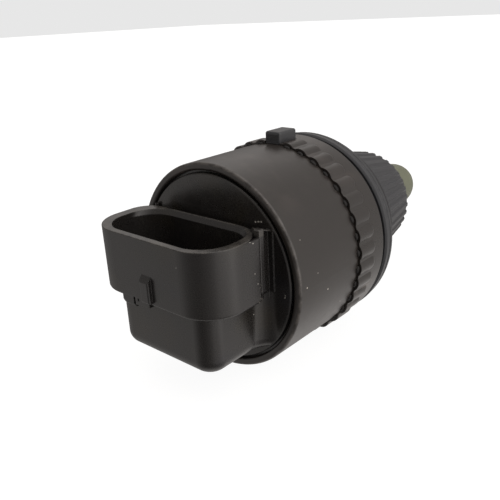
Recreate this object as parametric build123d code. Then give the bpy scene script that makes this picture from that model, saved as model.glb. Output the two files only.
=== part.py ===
from build123d import *
import os
from math import cos, degrees, pi, radians, sin, sqrt, tan

# Idle air control valve, millimetres.
# Frame: Y is the valve's own axis and points out of the nose, Z is the way the
# plug is pulled off the socket, X runs along the socket's long side. The origin
# is on the axis, at the plane where the spigot starts and the seat gasket seals.

# ---- driving dimensions ----------------------------------------------------
can_r = 17.5            # motor can outside
can_wall = 0.8
can_front = -29.5       # rolled rim's front plane, and the cap's
can_step = -13.2        # the can steps in here to its neck
can_end = -9.2
lip_in = 16.2           # inner edge of the rolled rim
lip_t = 1.1
neck_r = 16.6
neck_in = 15.85

disc_r = 15.8           # round cap inside the rolled rim
disc_t = 3.0
flange_in_r = 16.65     # the cap's flange under the rim

shell_x = 13.356        # socket shell half-width
shell_front = -43.72
shell_back = -32.8
shell_low = -1.02
shell_corner = 6.125
rim_top = 9.324
shell_top = 9.11
rim_back = -31.0
neck_top = 8.35           # the neck and the shell's back corner lie below the rim
socket_x0, socket_x1 = -11.41, 11.935
socket_y0, socket_y1 = -42.64, -31.985
socket_corner = 4.97
socket_floor = 0.3
neck_x = 12.72
neck_low = -0.7

body_x = 10.36          # lower body of the cap
body_front = -41.75
body_corner = 3.15
body_bottom = -11.515
body_round = 2.3
flare_y = -32.3         # flare's start
flare_out = can_front - flare_y

pin_x = (-7.5, -2.5, 2.5, 7.5)
pin_w, pin_t = 2.8, 0.8
pin_y = -37.3
pin_top = 5.0

ring_r = 17.82          # fluted collar
ring_in = 17.5
ring_front = -13.35
ring_back = -5.75
flute_n = 38            # positions, one of them taken by the key
flute_step = 360 / flute_n
flute_first = 1.0
flute_axis_r = 16.37      # low arches: 0.4 above the band, 2.3 wide
flute_out_r = 1.85
flute_in_axis_r = 16.85
flute_in_r = 1.07
flute_centre = -9.6     # where the round end of a flute starts

sleeve_in, sleeve_out = 16.65, 17.45
sleeve_front = -12.9
key_x0, key_x1 = -1.66, 1.58
key_top = 19.6
key_back = -8.5

seal_r = 17.25
seal_in = 16.2
flange_front = -4.55
flange_r = 17.81
flange_mid = -3.45        # a fine groove divides the flange here
flange_back = -1.5
flange_back_r = 16.9
gasket_in, gasket_out = 15.25, 16.4
gasket_seat_r = 15.0      # the recess behind the gasket
spigot_r = 15.2
spigot_len = 2.3
cone_r0, cone_r1 = 13.2, 9.9
nose_end = 20.0
rib_n = 36
rib_h = 0.34

bearing_y0, bearing_y1 = -9.4, -5.8
bearing_y = (bearing_y0 + bearing_y1) / 2
ball_n = 8
ball_r = 1.2
ball_pitch = 5.75
groove_r = 1.25

magnet_r = 7.2
hub_r = 4.2
claw_in, claw_out = 7.5, 8.2
plate_t = 0.8
plate_y = (-25.5, -18.8, -18.0, -11.3)
claw_len = 5.3
claw_n = 5
coil_in, coil_out = 9.1, 14.9

screw_r = 2.0
screw_gap = 0.05
screw_flat = 1.6
pintle_r = 4.9
pintle_back = 12.5
pintle_shoulder = 29.5
pintle_tip = 35.25
guide_in = 4.98
guide_out = 6.2

spring_wire = 0.7
spring_mean = 3.6
spring_y0, spring_y1 = -3.1, 12.5
spring_turns = 7

os.makedirs("parts", exist_ok=True)


def turned(*points):
    """A closed (radius, y) outline turned about the Y axis."""
    return revolve(make_face(Polyline(*points, close=True)), axis=Axis.Y)


def ring(r0, r1, y0, y1):
    return turned((r0, y0), (r1, y0), (r1, y1), (r0, y1))


def rod(r, y0, y1):
    return turned((0, y0), (r, y0), (r, y1), (0, y1))


def box(x0, x1, y0, y1, z0, z1):
    return Pos((x0 + x1) / 2, (y0 + y1) / 2, (z0 + z1) / 2) * Box(x1 - x0, y1 - y0, z1 - z0)


def about(shape, angle):
    """Turn about the valve's axis, from +Z towards +X."""
    return Rot(0, angle, 0) * shape


def rounded_outline(x0, x1, y0, y1, front, back, back_left=None):
    """Plan outline with its own corner radii at the front (low y) and back."""
    k = 1 - sqrt(0.5)
    left = back if back_left is None else back_left
    lines = [
        Line((x0 + front, y0), (x1 - front, y0)),
        ThreePointArc((x1 - front, y0), (x1 - front * k, y0 + front * k), (x1, y0 + front)),
        Line((x1, y0 + front), (x1, y1 - back)),
        ThreePointArc((x1, y1 - back), (x1 - back * k, y1 - back * k), (x1 - back, y1)),
        Line((x1 - back, y1), (x0 + left, y1)),
        ThreePointArc((x0 + left, y1), (x0 + left * k, y1 - left * k), (x0, y1 - left)),
        Line((x0, y1 - left), (x0, y0 + front)),
        ThreePointArc((x0, y0 + front), (x0 + front * k, y0 + front * k), (x0 + front, y0)),
    ]
    return make_face(Wire(lines))


def upright(face, z0, z1):
    return Pos(0, 0, z0) * extrude(face, amount=z1 - z0, dir=(0, 0, 1))


parts = {}

# ---- motor can ---------------------------------------------------------------
e = 0.55
f = 0.42                  # the rolled edge turns in towards the cap
q = sqrt(0.5)
can_face = make_face(Wire([
    ThreePointArc((lip_in, can_front + f), (lip_in + f * (1 - q), can_front + f * (1 - q)), (lip_in + f, can_front)),
    Line((lip_in + f, can_front), (can_r - e, can_front)),
    ThreePointArc((can_r - e, can_front), (can_r - e * (1 - q), can_front + e * (1 - q)), (can_r, can_front + e)),
    Line((can_r, can_front + e), (can_r, can_step)),
    Line((can_r, can_step), (neck_r, can_step)),
    Line((neck_r, can_step), (neck_r, can_end)),
    Line((neck_r, can_end), (neck_in, can_end)),
    Line((neck_in, can_end), (neck_in, can_step - can_wall)),
    Line((neck_in, can_step - can_wall), (can_r - can_wall, can_step - can_wall)),
    Line((can_r - can_wall, can_step - can_wall), (can_r - can_wall, can_front + lip_t)),
    Line((can_r - can_wall, can_front + lip_t), (lip_in, can_front + lip_t)),
    Line((lip_in, can_front + lip_t), (lip_in, can_front + f)),
]))
parts["motor_can"] = revolve(can_face, axis=Axis.Y)

# ---- connector cap ---------------------------------------------------------------
d = 0.2
flange_y = can_front + lip_t
cap = turned(
    (0, can_front), (disc_r - d, can_front), (disc_r, can_front + d), (disc_r, flange_y),
    (flange_in_r, flange_y), (flange_in_r, can_front + disc_t), (0, can_front + disc_t),
)

# Lower body, round at its vertical corners and along the bottom
k = 1 - sqrt(0.5)
c = body_corner
back = can_front + disc_t - 0.2
half = [
    Line((0, body_front), (body_x - c, body_front)),
    ThreePointArc((body_x - c, body_front), (body_x - c * k, body_front + c * k), (body_x, body_front + c)),
    Line((body_x, body_front + c), (body_x, flare_y)),
    TangentArc((body_x, flare_y), (body_x + flare_out, can_front), tangent=(0, 1)),
    Line((body_x + flare_out, can_front), (disc_r + 1, can_front)),
    Line((disc_r + 1, can_front), (disc_r + 1, back)),
    Line((disc_r + 1, back), (0, back)),
]
body_plan = make_face(Wire(half + [Line((0, back), (0, body_front))]))
body_plan = body_plan + mirror(body_plan, about=Plane.YZ)
body = upright(body_plan, body_bottom, shell_low + 1)
low = [edge for edge in body.edges() if abs(edge.center().Z - body_bottom) < 0.01 and edge.center().Y < can_front + 0.5]
body = fillet(low, body_round)
keep = rod(disc_r - 0.05, can_front - 30, back)
body = body & rod(disc_r - d, can_front - 30, back)
neck = box(-neck_x, neck_x, shell_back - 0.5, can_front + 1, neck_low, shell_top) & keep

shell = upright(rounded_outline(-shell_x, shell_x, shell_front, shell_back, shell_corner, 0.7), shell_low, shell_top)
under = [edge for edge in shell.edges() if abs(edge.center().Z - shell_low) < 0.01]
shell = fillet(under, 0.5)
rim = upright(rounded_outline(-shell_x, shell_x, shell_front, rim_back, shell_corner, 6.0, 3.6), shell_top - 1.2, rim_top)
rim_edges = [edge for edge in rim.edges() if abs(edge.center().Z - rim_top) < 0.01]
rim = fillet(rim_edges, 0.12)

# Latch ramp on the front face: full height at its foot, running out at the top
lug_x0, lug_x1 = -0.75, 1.2
lug_z0, lug_z1 = -0.45, 3.8
lug_out = 0.72
ramp = make_face(Polyline(
    (shell_front + 0.6, lug_z0), (shell_front - lug_out + 0.15, lug_z0), (shell_front - lug_out, lug_z0 + 0.2),
    (shell_front - lug_out, lug_z0 + 3.3), (shell_front - 0.02, lug_z1), (shell_front + 0.6, lug_z1), close=True,
))
ramp = Plane(origin=(lug_x0, 0, 0), x_dir=(0, 1, 0), z_dir=(1, 0, 0)) * ramp
lug = extrude(ramp, amount=lug_x1 - lug_x0, dir=(1, 0, 0))
lug = fillet([edge for edge in lug.edges() if abs(edge.center().Y - shell_front + lug_out) < 0.01 and edge.length > 2.5], 0.3)

# Low tongue beside the ramp, reaching below the shell's edge
tongue_y = shell_front + 0.02
tongue = extrude(Plane(origin=(0, tongue_y, 0), x_dir=(1, 0, 0), z_dir=(0, -1, 0)) * make_face(Polyline(
    (-6.0, 0.35), (-6.0, -1.6), (-5.25, -2.3), (-3.2, -2.3), (-3.2, -1.8), (0.2, -1.55), (0.2, 0.35), close=True,
)), amount=2.6, dir=(0, 1, 0))
toe = [edge for edge in tongue.edges() if abs(edge.center().Y - tongue_y) < 0.01 and abs(edge.center().Z + 2.3) < 0.01]
tongue = chamfer(toe, 0.32)
slit = box(-3.42, -3.02, shell_front - 1, shell_front + 0.9, -1.78, -0.55) + box(-2.42, -2.12, shell_front - 1, shell_front + 0.25, -1.05, -0.6)

# Post at the shell's back corner, and the neck's side web behind it: its top slopes
# down to the cap, and its panel is recessed inside a fine frame
post_y0, post_y1 = -33.3, -32.2
post = box(12.3, shell_x - 0.03, post_y0, post_y1, 0.4, shell_top + 1.1)
post = fillet([edge for edge in post.edges() if edge.center().Z > 1 and edge.center().X > 12.6], 0.2)
web_plane = Plane(origin=(11.4, 0, 0), x_dir=(0, 1, 0), z_dir=(1, 0, 0))
web = extrude(web_plane * make_face(Polyline(
    (post_y1 - 0.4, -0.9), (can_front + 0.3, -0.9), (can_front + 0.3, 8.9), (post_y1 - 0.4, 10.1), close=True,
)), amount=neck_x + 0.03 - 11.4, dir=(1, 0, 0))
panel = extrude(Plane(origin=(11.9, 0, 0), x_dir=(0, 1, 0), z_dir=(1, 0, 0)) * make_face(Polyline(
    (post_y1, -2), (can_front - 0.24, -2), (can_front - 0.24, 8.86), (post_y1, 9.84), close=True,
)), amount=2, dir=(1, 0, 0))
nub_l = Pos(-neck_x + 0.35, can_front - 0.35, neck_top) * Cylinder(0.34, 1.7)

step = box(-shell_x - 1, shell_x - 0.5, -36.6, can_front, neck_top, 12)
cap = cap + body + ((neck + shell) - step) + rim + lug + tongue + (web & keep) + nub_l
cap = cap - slit - panel + post

socket = upright(rounded_outline(socket_x0, socket_x1, socket_y0, socket_y1, socket_corner, socket_corner), socket_floor, rim_top + 5)
mouth = loft([
    Pos(0, 0, rim_top - 0.8) * rounded_outline(socket_x0, socket_x1, socket_y0, socket_y1, socket_corner, socket_corner),
    Pos(0, 0, rim_top + 0.1) * rounded_outline(socket_x0, socket_x1, socket_y0, socket_y1 + 0.8, socket_corner, socket_corner),
], ruled=True)
cap = cap - socket - mouth

# Blind seat for the rear bush, relief behind it
bush_r = 4.4
cap = cap - rod(bush_r, can_front + 1.2, can_front + disc_t + 1)
seal_groove = ring(15.9, flange_in_r + 1, -27.9, -27.0)
cap = cap - seal_groove

pins = []
for x in pin_x:
    leg = box(x - pin_w / 2, x + pin_w / 2, pin_y - pin_t / 2, pin_y + pin_t / 2, -6.4, pin_top - 0.5)
    point = loft([
        Pos(x, pin_y, pin_top - 0.5) * Rectangle(pin_w, pin_t),
        Pos(x, pin_y, pin_top) * Rectangle(pin_w - 0.7, pin_t - 0.35),
    ])
    tail = box(x - pin_w / 2, x + pin_w / 2, pin_y - pin_t / 2, -25.9, -6.4, -5.6)
    pins.append(leg + point + tail)
for number, pin in enumerate(pins):
    cap = cap - pin
    parts["terminal_pin_%d" % (number + 1)] = pin
parts["connector_cap"] = cap
parts["cap_seal"] = ring(15.95, 16.68, -27.85, -27.05)

# ---- fluted collar ------------------------------------------------------------
collar = ring(ring_in, ring_r, ring_front, ring_back)
flutes_out, flutes_in = [], []
for k in range(1, flute_n):
    angle = flute_first + k * flute_step
    outer = turned(
        (0, ring_front), (flute_out_r, ring_front), (flute_out_r, flute_centre), (0, flute_centre),
    ) + Pos(0, flute_centre, 0) * Sphere(flute_out_r)
    inner = turned(
        (0, ring_front - 1), (flute_in_r, ring_front - 1), (flute_in_r, flute_centre), (0, flute_centre),
    ) + Pos(0, flute_centre, 0) * Sphere(flute_in_r)
    flutes_out.append(about(Pos(0, 0, flute_axis_r) * outer, angle))
    flutes_in.append(about(Pos(0, 0, flute_in_axis_r) * inner, angle))
collar = collar + flutes_out
collar = collar - rod(ring_in, ring_front - 2, ring_back + 2)
collar = collar - flutes_in
collar = collar - box(key_x0 - 0.04, key_x1 + 0.04, ring_front - 1, key_back + 0.04, 10, 22)
parts["collar_ring"] = collar

# ---- nose housing -------------------------------------------------------------
nose = turned(
    (sleeve_in, sleeve_front), (sleeve_out, sleeve_front), (sleeve_out, ring_back), (seal_in, ring_back),
    (seal_in, flange_front), (flange_r - 0.35, flange_front), (flange_r, flange_front + 0.35), (flange_r, flange_mid),
    (flange_r - 0.26, flange_mid + 0.2), (flange_r - 0.26, flange_mid + 0.42), (flange_r - 0.08, flange_mid + 0.6),
    (flange_r - 0.16, flange_back - 0.75), (flange_back_r, flange_back), (gasket_seat_r, flange_back), (gasket_seat_r, 0), (spigot_r, 0), (spigot_r, spigot_len),
    (cone_r0 - 1.0, spigot_len), (cone_r1 - 1.0, nose_end - 0.6),
    (cone_r1 - 1.9, nose_end), (guide_out, nose_end), (guide_out, -3.8), (4.0, -3.8), (4.0, -5.7), (8.0, -5.7),
    (8.0, -9.0), (sleeve_in, -9.0),
)


def toothed(r_out, y):
    """Ribbed section of the nose: flat-topped ribs with sloping sides."""
    pts = []
    for k in range(rib_n):
        a = k * 360 / rib_n
        for da, r in ((-1.7, r_out), (1.7, r_out), (3.4, r_out - rib_h), (6.6, r_out - rib_h)):
            t = radians(a + da)
            pts.append((r * sin(t), y, r * cos(t)))
    return make_face(Polyline(*pts, close=True))


ribs = loft([toothed(cone_r0, spigot_len - 0.5), toothed(cone_r1 + 0.15, nose_end - 1.6)], ruled=True)
ribs = ribs - rod(8.0, -5, 30)
tail_end = turned((7.9, nose_end - 1.6), (cone_r1 - 0.25, nose_end - 1.6), (cone_r1 - 0.6, nose_end - 0.5), (cone_r1 - 1.1, nose_end), (7.9, nose_end))
nose = nose + ribs + tail_end
key = box(key_x0, key_x1, ring_front, key_back, 16.9, key_top)
key = fillet(key.edges().filter_by(Axis.Z) + [edge for edge in key.edges() if edge.center().Z > key_top - 0.01], 0.42)
for k in range(5):       # fine grooves across its front face
    z = 17.75 + k * 0.27
    key = key - box(key_x0 + 0.35, key_x1 - 0.35, ring_front - 1, ring_front + 0.07, z, z + 0.1)
key = key - rod(sleeve_in, ring_front - 1, key_back + 1) - rod(can_r + 0.02, ring_front - 1, sleeve_front)
nose = nose + key
parts["nose_housing"] = nose
parts["body_seal"] = turned(
    (seal_in, ring_back), (seal_r - 0.25, ring_back), (seal_r, ring_back + 0.25), (seal_r, flange_front - 0.25),
    (seal_r - 0.25, flange_front), (seal_in, flange_front),
)
parts["seat_gasket"] = ring(gasket_in, gasket_out, flange_back, 0)

# ---- stator --------------------------------------------------------------------
def claw(y_root, direction, angle):
    w0, w1 = 2.05, 0.95
    y_tip = y_root + direction * claw_len
    flat = make_face(Polyline((-w0, y_root), (w0, y_root), (w1, y_tip), (-w1, y_tip), close=True))
    prism = extrude(flat, amount=12, dir=(0, 0, 1))
    lo, hi = min(y_root, y_tip), max(y_root, y_tip)
    return about(prism & ring(claw_in, claw_out, lo, hi), angle)


plate_outer = (16.5, 16.5, 16.5, 15.75)
for number, (y, r) in enumerate(zip(plate_y, plate_outer)):
    plate = ring(claw_in, r, y, y + plate_t)
    facing = 1 if number in (0, 2) else -1
    root = y + plate_t if facing > 0 else y
    turn = (0, 36, 18, 54)[number]
    for k in range(claw_n):
        plate = plate + claw(root, facing, turn + k * 360 / claw_n)
    parts["stator_plate_%d" % (number + 1)] = plate

for name, y0, y1 in (("a", plate_y[0] + plate_t, plate_y[1]), ("b", plate_y[2] + plate_t, plate_y[3])):
    r = 15.4
    parts["bobbin_" + name] = turned(
        (claw_out + 0.1, y0 + 0.02), (r, y0 + 0.02), (r, y0 + 0.6), (coil_in, y0 + 0.6), (coil_in, y1 - 0.6),
        (r, y1 - 0.6), (r, y1 - 0.02), (claw_out + 0.1, y1 - 0.02),
    )
    parts["coil_" + name] = ring(coil_in, coil_out, y0 + 0.6, y1 - 0.6)

# ---- bush, bearing, washers ---------------------------------------------------
parts["rear_bush"] = ring(3.04, bush_r, can_front + 1.2, can_front + disc_t)
parts["preload_washer"] = ring(3.1, 4.1, -26.4, -26.1)

race_groove = Pos(0, bearing_y, 0) * Rot(90, 0, 0) * Torus(ball_pitch, groove_r)
parts["bearing_outer_race"] = ring(6.75, 8.0, bearing_y0, bearing_y1) - race_groove
parts["bearing_inner_race"] = ring(3.5, 4.75, bearing_y0, bearing_y1) - race_groove
balls = []
cage = ring(5.25, 6.25, bearing_y - 1.55, bearing_y + 1.55)
for k in range(ball_n):
    a = radians(k * 360 / ball_n)
    spot = Pos(ball_pitch * sin(a), bearing_y, ball_pitch * cos(a))
    balls.append(spot * Sphere(ball_r))
    cage = cage - about(Pos(0, bearing_y, ball_pitch) * Cylinder(groove_r, 3), k * 360 / ball_n)
parts["bearing_balls"] = Compound(children=[ball.solids()[0] for ball in balls])
parts["bearing_cage"] = cage

# ---- rotor ---------------------------------------------------------------------
bore = screw_r + screw_gap
parts["rotor_hub"] = turned(
    (bore, -28.1), (3.0, -28.1), (3.0, -26.0), (hub_r, -26.0), (hub_r, -10.2), (3.5, -10.2),
    (3.5, bearing_y1), (bore, bearing_y1),
)
parts["rotor_magnet"] = ring(hub_r, magnet_r, -25.2, -10.8)

# ---- pintle --------------------------------------------------------------------
screw = rod(screw_r, -19.0, 24.0)
for side in (-1, 1):
    screw = screw - box(*sorted((side * screw_flat, side * 3)), -6.5, 6.5, -3, 3)
screw = screw - (rod(3, -20, -18.6) - turned((0, -20), (screw_r - 0.4, -19.0), (screw_r, -18.6), (0, -18.6)))
parts["lead_screw"] = screw
head = make_face(Wire([
    Line((0, pintle_back), (pintle_r - 0.3, pintle_back)),
    Line((pintle_r - 0.3, pintle_back), (pintle_r, pintle_back + 0.3)),
    Line((pintle_r, pintle_back + 0.3), (pintle_r, pintle_shoulder)),
    Spline((pintle_r, pintle_shoulder), (pintle_r * sqrt(0.5), pintle_shoulder + (pintle_tip - pintle_shoulder) * sqrt(0.5)),
           (0, pintle_tip), tangents=((0, 1), (-1, 0))),
    Line((0, pintle_tip), (0, pintle_back)),
]))
parts["pintle_head"] = revolve(head, axis=Axis.Y) - rod(screw_r, pintle_back - 1, 24.0)

seat = ring(screw_r + 0.1, guide_out, -3.8, spring_y0)
for side in (-1, 1):
    tab = box(*sorted((side * (screw_flat + 0.06), side * 3)), -3.8, spring_y0, -3, 3) & ring(0.5, 3.0, -3.8, spring_y0)
    seat = seat + tab
parts["spring_seat"] = seat
parts["guide_bush"] = turned((guide_in, 14.3), (guide_out, 14.0), (guide_out, 19.6), (guide_in, 19.6))

pitch = (spring_y1 - spring_y0 - spring_wire - 0.1) / spring_turns
helix = Helix(pitch, pitch * spring_turns, spring_mean)
start = Plane(helix @ 0, z_dir=helix % 0)
coil = sweep(start * Circle(spring_wire / 2), path=helix, is_frenet=True)
parts["pintle_spring"] = Pos(0, spring_y0 + spring_wire / 2 + 0.05, 0) * Rot(-90, 0, 0) * coil

for name, shape in sorted(parts.items()):
    export_step(shape, "parts/%s.step" % name)
print(len(parts), "pieces")
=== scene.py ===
import math
import random

import bmesh
import bpy
from mathutils import Matrix, Vector


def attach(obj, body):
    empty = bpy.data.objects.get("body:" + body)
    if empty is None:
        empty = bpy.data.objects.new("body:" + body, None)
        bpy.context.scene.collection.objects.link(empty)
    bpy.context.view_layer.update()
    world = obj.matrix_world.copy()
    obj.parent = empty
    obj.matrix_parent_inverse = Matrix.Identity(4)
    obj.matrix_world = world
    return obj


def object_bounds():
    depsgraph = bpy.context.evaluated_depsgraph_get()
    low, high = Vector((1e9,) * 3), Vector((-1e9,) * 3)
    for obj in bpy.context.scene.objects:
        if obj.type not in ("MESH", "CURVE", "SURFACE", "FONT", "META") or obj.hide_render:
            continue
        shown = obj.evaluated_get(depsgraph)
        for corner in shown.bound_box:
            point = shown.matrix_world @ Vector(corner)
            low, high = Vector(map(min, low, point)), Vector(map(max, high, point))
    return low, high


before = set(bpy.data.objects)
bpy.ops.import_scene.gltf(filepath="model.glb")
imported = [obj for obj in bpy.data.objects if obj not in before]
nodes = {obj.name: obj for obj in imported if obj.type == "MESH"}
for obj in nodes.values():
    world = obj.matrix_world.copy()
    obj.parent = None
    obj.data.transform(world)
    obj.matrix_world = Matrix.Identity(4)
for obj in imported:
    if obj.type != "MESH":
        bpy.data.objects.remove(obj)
cad_box = [list(v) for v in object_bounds()]
MM = 0.001
FRONT = -29.5 * MM          # plane of the rolled rim and the cap


def srgb(r, g, b):
    def one(c):
        c /= 255
        return c / 12.92 if c <= 0.04045 else ((c + 0.055) / 1.055) ** 2.4
    return (one(r), one(g), one(b), 1.0)


# ---- camera --------------------------------------------------------------------
az, el, roll = (math.radians(a) for a in (41.7934, 21.3604, -2.8079))
look = Vector((-math.sin(az) * math.cos(el), math.cos(az) * math.cos(el), -math.sin(el)))
right = Vector((math.cos(az), math.sin(az), 0))
up = right.cross(look)
r2 = math.cos(roll) * right + math.sin(roll) * up
u2 = -math.sin(roll) * right + math.cos(roll) * up
R = 17.5 * MM
place = -(r2 * -0.3359 + u2 * -0.1665 + look * 5.66479) * R + Vector((0, FRONT, 0))
cam_data = bpy.data.cameras.new("camera")
cam_data.sensor_width = 36
cam_data.lens = 43.44
cam_data.clip_start, cam_data.clip_end = 0.005, 20
cam = bpy.data.objects.new("camera", cam_data)
cam.matrix_world = Matrix(((r2.x, u2.x, -look.x, place.x), (r2.y, u2.y, -look.y, place.y), (r2.z, u2.z, -look.z, place.z), (0, 0, 0, 1)))
bpy.context.scene.collection.objects.link(cam)
bpy.context.scene.camera = cam


# ---- material kit --------------------------------------------------------------
class Mat:
    """A procedural material: colour, roughness and height are built up in turn."""

    def __init__(self, name, color, rough, spec=0.5, metal=0.0):
        self.m = bpy.data.materials.new(name)
        self.m.use_nodes = True
        self.t = self.m.node_tree
        self.t.nodes.clear()
        self.out = self.n("ShaderNodeOutputMaterial")
        self.b = self.n("ShaderNodeBsdfPrincipled")
        self.link(self.b.outputs[0], self.out.inputs[0])
        self.b.inputs["Specular IOR Level"].default_value = spec
        self.b.inputs["Metallic"].default_value = metal
        self.coord = self.n("ShaderNodeTexCoord").outputs["Object"]
        c = self.n("ShaderNodeRGB")
        c.outputs[0].default_value = color
        self.color = c.outputs[0]
        v = self.n("ShaderNodeValue")
        v.outputs[0].default_value = rough
        self.rough = v.outputs[0]
        self.normal = None

    def n(self, kind, **props):
        node = self.t.nodes.new(kind)
        for k, v in props.items():
            setattr(node, k, v)
        return node

    def link(self, a, b):
        self.t.links.new(a, b)

    def math(self, op, a, b=None, c=None, clamp=False):
        node = self.n("ShaderNodeMath", operation=op, use_clamp=clamp)
        for i, v in enumerate((a, b, c)):
            if v is None:
                continue
            if isinstance(v, (int, float)):
                node.inputs[i].default_value = v
            else:
                self.link(v, node.inputs[i])
        return node.outputs[0]

    def ramp(self, value, lo, hi, out_lo=0.0, out_hi=1.0, smooth=True):
        node = self.n("ShaderNodeMapRange", interpolation_type="SMOOTHSTEP" if smooth else "LINEAR")
        self.link(value, node.inputs["Value"])
        for k, v in zip(("From Min", "From Max", "To Min", "To Max"), (lo, hi, out_lo, out_hi)):
            node.inputs[k].default_value = v
        return node.outputs[0]

    def stretched(self, scale):
        node = self.n("ShaderNodeMapping")
        node.inputs["Scale"].default_value = scale
        self.link(self.coord, node.inputs["Vector"])
        return node.outputs[0]

    def noise(self, scale, detail=3.0, rough=0.5, stretch=None, seed=0.0, dims="4D"):
        node = self.n("ShaderNodeTexNoise", noise_dimensions=dims)
        node.inputs["Scale"].default_value = scale
        node.inputs["Detail"].default_value = detail
        node.inputs["Roughness"].default_value = rough
        if dims == "4D":
            node.inputs["W"].default_value = seed
        self.link(self.stretched(stretch) if stretch else self.coord, node.inputs["Vector"])
        return node.outputs["Fac"]

    def voronoi(self, scale, feature="F1", stretch=None, rand=1.0):
        node = self.n("ShaderNodeTexVoronoi", feature=feature)
        node.inputs["Scale"].default_value = scale
        node.inputs["Randomness"].default_value = rand
        self.link(self.stretched(stretch) if stretch else self.coord, node.inputs["Vector"])
        return node.outputs["Distance"]

    def xyz(self):
        node = self.n("ShaderNodeSeparateXYZ")
        self.link(self.coord, node.inputs[0])
        return node.outputs

    def tint(self, fac, color, amount=1.0):
        node = self.n("ShaderNodeMix", data_type="RGBA")
        f = self.math("MULTIPLY", fac, amount, clamp=True)
        self.link(f, node.inputs[0])
        self.link(self.color, node.inputs[6])
        node.inputs[7].default_value = color
        self.color = node.outputs[2]

    def shade(self, fac, lo, hi):
        """Multiply the colour by a factor running from lo to hi with fac."""
        v = self.ramp(fac, 0.0, 1.0, lo, hi, smooth=False)
        node = self.n("ShaderNodeVectorMath", operation="SCALE")
        self.link(self.color, node.inputs[0])
        self.link(v, node.inputs["Scale"])
        self.color = node.outputs[0]

    def roughen(self, fac, amount):
        self.rough = self.math("ADD", self.rough, self.math("MULTIPLY", self.math("SUBTRACT", fac, 0.5), amount), clamp=True)

    def bevel(self, radius, samples=6):
        node = self.n("ShaderNodeBevel", samples=samples)
        node.inputs["Radius"].default_value = radius
        if self.normal is not None:
            self.link(self.normal, node.inputs["Normal"])
        self.normal = node.outputs[0]

    def bump(self, height, distance, strength=1.0):
        node = self.n("ShaderNodeBump")
        node.inputs["Distance"].default_value = distance
        node.inputs["Strength"].default_value = strength
        self.link(height, node.inputs["Height"])
        if self.normal is not None:
            self.link(self.normal, node.inputs["Normal"])
        self.normal = node.outputs[0]

    def speck(self, point, radius, color, amount=1.0):
        """A fleck of dust or a nick at a place on the surface."""
        node = self.n("ShaderNodeVectorMath", operation="DISTANCE")
        self.link(self.coord, node.inputs[0])
        node.inputs[1].default_value = point
        self.tint(self.ramp(node.outputs["Value"], radius * 1.15, radius * 0.75), color, amount)

    def done(self):
        self.link(self.color, self.b.inputs["Base Color"])
        self.link(self.rough, self.b.inputs["Roughness"])
        if self.normal is not None:
            self.link(self.normal, self.b.inputs["Normal"])
        return self.m


def paint(obj, mat):
    if not obj.material_slots:
        obj.data.materials.append(mat)
    for s in obj.material_slots:
        s.material = mat


def mm(*v):
    return tuple(c * MM for c in v)


def near_circle(k, radius, y, reach):
    """1 close to a circle round the valve's axis, 0 beyond reach."""
    x, yy, z = k.xyz()
    r = k.math("SQRT", k.math("ADD", k.math("MULTIPLY", x, x), k.math("MULTIPLY", z, z)))
    dr = k.math("SUBTRACT", r, radius)
    dy = k.math("SUBTRACT", yy, y)
    d = k.math("SQRT", k.math("ADD", k.math("MULTIPLY", dr, dr), k.math("MULTIPLY", dy, dy)))
    return k.ramp(d, reach, reach * 0.35)


def can_paint(name="can_coating", rough=0.34, soften=0.14):
    """Baked black coating on drawn steel, with a painted highlight along the rolled edge and a lighter painted top."""
    k = Mat(name, srgb(41, 37, 34), rough, 0.5)
    k.bevel(soften * MM)
    k.shade(k.noise(60, 3, 0.55, seed=1), 0.84, 1.16)
    k.shade(k.noise(300, 3, 0.6, stretch=(1, 0.25, 1), seed=8), 0.92, 1.08)
    k.shade(k.noise(1100, 2, 0.6, seed=2), 0.92, 1.08)
    # painted highlight along the rolled edge, broken up with noise
    edge = near_circle(k, 17.35 * MM, -29.25 * MM, 0.42 * MM)
    k.tint(k.math("MULTIPLY", edge, k.ramp(k.noise(520, 4, 0.7, seed=6), 0.38, 0.62)), srgb(96, 92, 88), 0.55)
    # lighter blotches low on the side, in front of the collar
    x, y, z = k.xyz()
    zone = k.math("MULTIPLY", k.ramp(y, -22 * MM, -16 * MM), k.ramp(z, -3 * MM, -8 * MM))
    blot = k.ramp(k.noise(430, 5, 0.68, stretch=(1, 0.7, 1), seed=12), 0.53, 0.66)
    k.tint(k.math("MULTIPLY", zone, blot), srgb(112, 104, 96), 0.42)
    # painted highlight: the top of the can and collar is lightened, broken up with noise
    painted_top_highlight = k.math("MULTIPLY", k.ramp(z, 9 * MM, 16 * MM), k.ramp(k.noise(150, 3, 0.6, seed=14), 0.42, 0.7))
    k.tint(painted_top_highlight, srgb(92, 82, 78), 0.28)
    fleck = k.math("MULTIPLY", k.ramp(k.voronoi(520), 0.09, 0.04), k.ramp(k.noise(260, 1, seed=5), 0.64, 0.72))
    k.tint(fleck, srgb(140, 136, 130), 0.6)
    for spot, size in (((17.5, -27.74, 0.38), 0.13), ((17.4, -22.13, -1.97), 0.15), ((17.4, -24.85, 1.74), 0.08),
                       ((11.72, -29.4, 13.0), 0.17), ((15.84, -27.13, 7.44), 0.07), ((16.25, -16.88, -6.5), 0.1)):
        k.speck(mm(*spot), size * MM, srgb(196, 190, 180), 0.9)
    k.roughen(k.noise(90, 3, seed=3), 0.12)
    k.roughen(k.noise(700, 4, 0.7, seed=13), 0.10)
    k.bump(k.noise(1500, 3, 0.6, seed=4), 0.006 * MM, 1.0)
    k.bump(k.noise(6000, 2, 0.5, seed=9), 0.003 * MM, 1.0)
    return k.done()


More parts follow.
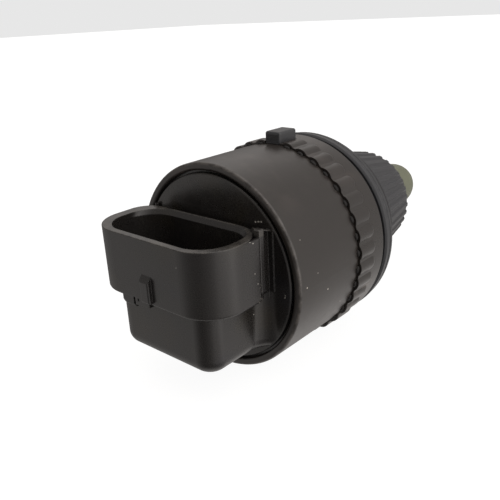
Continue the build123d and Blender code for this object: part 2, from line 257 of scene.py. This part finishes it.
def black_moulding(name="black_moulding", color=(34, 32, 31), rough=0.27, seed=0.0, specks=()):
    """Glass-filled black plastic: faint warm and cool drifts, a fine eroded skin."""
    k = Mat(name, srgb(*color), rough, 0.5)
    k.bevel(0.16 * MM)
    drift = k.noise(95, 2, 0.5, seed=seed + 1)
    k.tint(k.ramp(drift, 0.50, 0.72), srgb(color[0] + 9, color[1] + 6, color[2] - 3), 0.7)
    k.tint(k.ramp(drift, 0.46, 0.26), srgb(color[0] - 3, color[1] - 1, color[2] + 6), 0.6)
    k.shade(k.noise(1300, 2, 0.6, seed=seed + 2), 0.90, 1.10)
    x, y, z = k.xyz()
    # painted highlight on the top of the socket's rim, broken up with noise
    rim = k.math("MULTIPLY", k.ramp(z, 9.14 * MM, 9.3 * MM), k.ramp(y, -29 * MM, -30.9 * MM))
    k.tint(k.math("MULTIPLY", rim, k.ramp(k.noise(620, 4, 0.7, seed=seed + 5), 0.36, 0.62)), srgb(92, 88, 82), 0.36)
    dust = k.math("MULTIPLY", k.ramp(k.voronoi(640), 0.075, 0.035), k.ramp(k.noise(210, 1, seed=seed + 6), 0.60, 0.70))
    k.tint(dust, srgb(128, 124, 116), 0.7)
    for spot, size in specks:
        k.speck(mm(*spot), size * MM, srgb(190, 186, 178), 0.9)
    k.roughen(k.noise(120, 3, seed=seed + 3), 0.12)
    k.roughen(k.noise(1600, 3, 0.7, seed=seed + 7), 0.10)
    k.bump(k.noise(1800, 2, 0.6, seed=seed + 4), 0.005 * MM, 1.0)
    k.bump(k.noise(5200, 2, 0.5, seed=seed + 8), 0.001 * MM, 1.0)
    return k.done()


def nose_moulding():
    """The nose's plastic is greyer and duller than the cap's."""
    k = Mat("nose_moulding", srgb(50, 51, 54), 0.42, 0.5)
    k.bevel(0.22 * MM)
    k.shade(k.noise(140, 3, 0.5, seed=21), 0.88, 1.12)
    k.shade(k.noise(1500, 2, 0.6, seed=22), 0.93, 1.07)
    # painted highlight: a lighter, noise-broken line round the flange's rim
    line = near_circle(k, 17.55 * MM, -3.1 * MM, 0.3 * MM)
    k.tint(k.math("MULTIPLY", line, k.ramp(k.noise(480, 4, 0.7, seed=26), 0.40, 0.60)), srgb(118, 118, 118), 0.3)
    k.roughen(k.noise(160, 3, seed=23), 0.12)
    k.bump(k.noise(1900, 3, 0.6, seed=24), 0.010 * MM, 1.0)
    return k.done()


def plain(name, color, rough, spec=0.5, metal=0.0, grain=700, turns=None, depth=0.05):
    """turns: pitch of a thread or winding along the valve's axis."""
    k = Mat(name, srgb(*color), rough, spec, metal)
    k.shade(k.noise(grain, 3, 0.6), 0.88, 1.12)
    k.shade(k.noise(grain * 0.2, 2, 0.5, seed=7), 0.93, 1.07)
    k.roughen(k.noise(grain * 0.4, 2, seed=3), 0.12)
    if turns:
        wave = k.math("SINE", k.math("MULTIPLY", k.xyz()[1], 2 * math.pi / (turns * MM)))
        k.bump(k.math("MULTIPLY", wave, 0.5), depth * MM)
    k.bump(k.noise(grain * 2, 2, seed=4), 0.006 * MM)
    return k.done()


can_mat = can_paint()
ring_mat = can_paint("collar_coating", 0.30, 0.06)
cap_specks = [((9.44, -29.5, 9.7), 0.16), ((9.8, -29.5, 9.8), 0.1), ((10.1, -29.5, 9.86), 0.13), ((10.55, -29.5, 9.93), 0.14),
              ((14.63, -29.5, -1.37), 0.1), ((14.75, -29.5, -1.0), 0.08),
              ((13.36, -35.34, 9.19), 0.14), ((13.36, -34.72, 8.77), 0.1), ((13.36, -34.6, 4.09), 0.08), ((13.36, -34.05, 2.32), 0.09),
              ((12.76, -43.0, 5.95), 0.1), ((7.07, -43.72, 6.7), 0.07),
              ((10.36, -30.6, -9.36), 0.12), ((10.36, -31.95, -4.4), 0.1), ((10.36, -31.2, -6.0), 0.06)]
cap_mat = black_moulding(specks=cap_specks)
nose_mat = nose_moulding()
# near-black sleeve teeth: the colour is painted shadow in the flute mouths
teeth_painted_shadow_mat = plain("sleeve_teeth_painted_shadow", (17, 14, 13), 0.55, 0.3)
rubber_mat = plain("seal_rubber", (17, 16, 18), 0.5, 0.4)
steel_mat = plain("plate_steel", (168, 168, 166), 0.38, 0.5, 1.0)
pintle_mat = plain("pintle_plastic", (104, 107, 88), 0.36, grain=420)
looks = {
    "motor_can": can_mat, "collar_ring": ring_mat, "connector_cap": cap_mat, "nose_housing": nose_mat,
    "cap_seal": rubber_mat, "body_seal": rubber_mat, "seat_gasket": rubber_mat, "pintle_head": pintle_mat,
}
for name in ("stator_plate_1", "stator_plate_2", "stator_plate_3", "stator_plate_4", "preload_washer", "spring_seat",
             "bearing_outer_race", "bearing_inner_race", "bearing_balls", "pintle_spring"):
    looks[name] = steel_mat
looks["lead_screw"] = plain("screw_steel", (150, 150, 150), 0.34, 0.5, 1.0, turns=0.8, depth=0.25)
tin = plain("tinned_brass", (205, 198, 176), 0.3, 0.5, 1.0)
for k in range(1, 5):
    looks["terminal_pin_%d" % k] = tin
looks["coil_a"] = looks["coil_b"] = plain("winding", (176, 96, 52), 0.4, 0.5, 0.8, turns=0.22, depth=0.05)
looks["bobbin_a"] = looks["bobbin_b"] = plain("bobbin_plastic", (205, 200, 185), 0.5)
looks["rear_bush"] = plain("bronze", (160, 120, 70), 0.45, 0.5, 0.9)
looks["bearing_cage"] = plain("cage_brass", (190, 160, 90), 0.4, 0.5, 0.9)
looks["rotor_magnet"] = plain("ferrite", (60, 60, 62), 0.55)
looks["rotor_hub"] = looks["guide_bush"] = plain("hub_plastic", (70, 70, 68), 0.5)
for name, obj in nodes.items():
    paint(obj, looks[name])


# ---- small pieces of the surface -----------------------------------------------
def new_piece(name, bm, mat, smooth=True):
    me = bpy.data.meshes.new(name)
    bm.to_mesh(me)
    bm.free()
    for poly in me.polygons:
        poly.use_smooth = smooth
    me.materials.append(mat)
    obj = bpy.data.objects.new(name, me)
    bpy.context.scene.collection.objects.link(obj)
    return obj


def blob(bm, matrix, radii, segments=20, rings=12):
    """An ellipsoid with its own axes, of the given radii in millimetres."""
    scale = Matrix.Diagonal((radii[0] * MM, radii[1] * MM, radii[2] * MM, 1.0))
    bmesh.ops.create_uvsphere(bm, u_segments=segments, v_segments=rings, radius=1.0, matrix=matrix @ scale)


# Near-black teeth of the sleeve in the mouths of the collar's flutes; their near-black colour is painted shadow for
# the dark gaps under the flutes
bm = bmesh.new()
for k in range(1, 38):
    a = math.radians(1.0 + k * 360 / 38)
    turn = Matrix.Rotation(a, 4, "Y")
    place = turn @ Matrix.Translation(mm(0, -13.32, 17.43))
    size = 1 + 0.06 * math.sin(k * 2.7)
    blob(bm, place, (0.72 * size, 0.60 * size, 0.44))
teeth = new_piece("sleeve_teeth_painted_shadow", bm, teeth_painted_shadow_mat)
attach(teeth, "housing")

# Torn flash at the shell's lower back corner, coloured light: painted glints on the burrs
flash_glint_mat = plain("glinting_flash", (104, 100, 92), 0.5, grain=3000)
rng = random.Random(7)
bm = bmesh.new()
for k in range(26):
    y = rng.uniform(-34.1, -33.05)
    z = -0.85 + 2.9 * rng.random() ** 1.6
    grow = 0.5 + 0.5 * rng.random()
    place = Matrix.Translation(mm(13.33, y, z)) @ Matrix.Rotation(rng.uniform(0, 3.1), 4, (rng.random(), rng.random(), 1))
    blob(bm, place, (0.035 * grow, 0.13 * grow, 0.06 * grow), 7, 5)
for v in bm.verts:
    v.co += Vector((rng.uniform(-1, 1), rng.uniform(-1, 1), rng.uniform(-1, 1))) * 0.012 * MM
glinting_flash = new_piece("moulding_flash", bm, flash_glint_mat, smooth=False)
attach(glinting_flash, "housing")

# Witness of the mould's parting line down the lower body
bm = bmesh.new()
rows = []
for k in range(61):
    t = k / 60
    y = -31.88 - 0.28 * t
    z = -1.3 - 8.5 * t
    h = 0.05 + 0.03 * math.sin(k * 1.9) * math.sin(k * 0.47)
    w = 0.07
    rows.append([bm.verts.new(mm(10.33, y - w, z)), bm.verts.new(mm(10.36 + h, y, z)), bm.verts.new(mm(10.33, y + w, z))])
for a, b in zip(rows, rows[1:]):
    for i in (0, 1):
        bm.faces.new((a[i], a[i + 1], b[i + 1], b[i]))
    bm.faces.new((a[2], a[0], b[0], b[2]))
bm.faces.new((rows[0][2], rows[0][1], rows[0][0]))
bm.faces.new((rows[-1][0], rows[-1][1], rows[-1][2]))
bmesh.ops.recalc_face_normals(bm, faces=bm.faces)
seam = new_piece("parting_line", bm, cap_mat, smooth=False)
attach(seam, "housing")

# ---- floor and light -----------------------------------------------------------
# The floor is white to the camera, with the faintest contact shadow. Everything
# else is lit by soft panels all round, as in a light tent: each is a smooth lobe.
low = min(cad_box[0][2], cad_box[1][2])
fm = bpy.data.meshes.new("floor")
s = 3.0
fm.from_pydata([(-s, -s, low), (s, -s, low), (s, s, low), (-s, s, low)], [], [(0, 1, 2, 3)])
floor = bpy.data.objects.new("floor", fm)
bpy.context.scene.collection.objects.link(floor)
floor.visible_glossy = False
floor.visible_diffuse = False
floor_mat = bpy.data.materials.new("floor")
floor_mat.use_nodes = True
t = floor_mat.node_tree
t.nodes.clear()
out = t.nodes.new("ShaderNodeOutputMaterial")
add = t.nodes.new("ShaderNodeAddShader")
em = t.nodes.new("ShaderNodeEmission")
em.inputs["Strength"].default_value = 0.93
df = t.nodes.new("ShaderNodeBsdfDiffuse")
df.inputs["Color"].default_value = (0.16, 0.16, 0.16, 1)
t.links.new(em.outputs[0], add.inputs[0])
t.links.new(df.outputs[0], add.inputs[1])
t.links.new(add.outputs[0], out.inputs[0])
floor.data.materials.append(floor_mat)

LOBES = [                   # direction, power, sharpness
    (-0.577, -0.577, -0.577, 0.356, 9),
    (-0.707, -0.707, 0.000, 0.466, 9),
    (-0.577, -0.577, 0.577, 0.206, 9),
    (-0.707, 0.000, -0.707, 0.282, 9),
    (-1.000, 0.000, 0.000, 0.186, 9),
    (-0.577, 0.577, 0.577, 0.857, 9),
    (0.000, -1.000, 0.000, 0.342, 9),
    (0.000, 0.000, -1.000, 0.711, 9),
    (0.000, 0.000, 1.000, 1.658, 9),
    (0.000, 0.707, -0.707, 0.713, 9),
    (0.000, 1.000, 0.000, 0.213, 9),
    (0.000, 0.707, 0.707, 0.287, 9),
    (0.577, -0.577, -0.577, 0.056, 9),
    (0.707, 0.000, -0.707, 0.056, 9),
    (1.000, 0.000, 0.000, 1.968, 9),
    (0.707, 0.000, 0.707, 1.748, 9),
    (0.577, 0.577, -0.577, 0.425, 9),
    (0.707, 0.707, 0.000, 0.420, 9),
    (0.577, 0.577, 0.577, 0.528, 9),
    (0.365, -0.859, -0.358, 0.075, 45),
    (0.575, -0.736, -0.358, 0.241, 45),
    (0.746, -0.562, -0.358, 0.150, 45),
    (0.866, -0.350, -0.358, 0.407, 45),
    (0.859, 0.365, -0.358, 0.711, 45),
]
AMBIENT = 0.0000
world = bpy.data.worlds.new("world")
bpy.context.scene.world = world
world.use_nodes = True
t = world.node_tree
bg = t.nodes["Background"]
bg.inputs["Color"].default_value = (1.0, 0.955, 0.925, 1)
coord = t.nodes.new("ShaderNodeTexCoord")


def wmath(op, a, b):
    node = t.nodes.new("ShaderNodeMath")
    node.operation = op
    for i, v in enumerate((a, b)):
        if isinstance(v, (int, float)):
            node.inputs[i].default_value = v
        else:
            t.links.new(v, node.inputs[i])
    return node.outputs[0]


total = None
for i, (x, y, z, power, sharp) in enumerate(LOBES):
    dot = t.nodes.new("ShaderNodeVectorMath")
    dot.operation = "DOT_PRODUCT"
    t.links.new(coord.outputs["Generated"], dot.inputs[0])
    dot.inputs[1].default_value = Vector((x, y, z)).normalized()
    lobe = wmath("EXPONENT", wmath("MULTIPLY", wmath("SUBTRACT", dot.outputs["Value"], 1.0), sharp), 0.0)
    scaled = wmath("MULTIPLY", lobe, power)
    scaled.node.name = "lobe_%d" % i
    total = scaled if total is None else wmath("ADD", total, scaled)
total = wmath("ADD", total, AMBIENT)
total.node.name = "ambient"
total = wmath("MULTIPLY", total, 1.07)
t.links.new(total, bg.inputs["Strength"])
white = t.nodes.new("ShaderNodeBackground")
white.inputs["Strength"].default_value = 1.0
path = t.nodes.new("ShaderNodeLightPath")
mix = t.nodes.new("ShaderNodeMixShader")
t.links.new(path.outputs["Is Camera Ray"], mix.inputs[0])
t.links.new(bg.outputs[0], mix.inputs[1])
t.links.new(white.outputs[0], mix.inputs[2])
t.links.new(mix.outputs[0], t.nodes["World Output"].inputs["Surface"])

scene = bpy.context.scene
scene.view_settings.view_transform = "Standard"
scene.view_settings.look = "None"
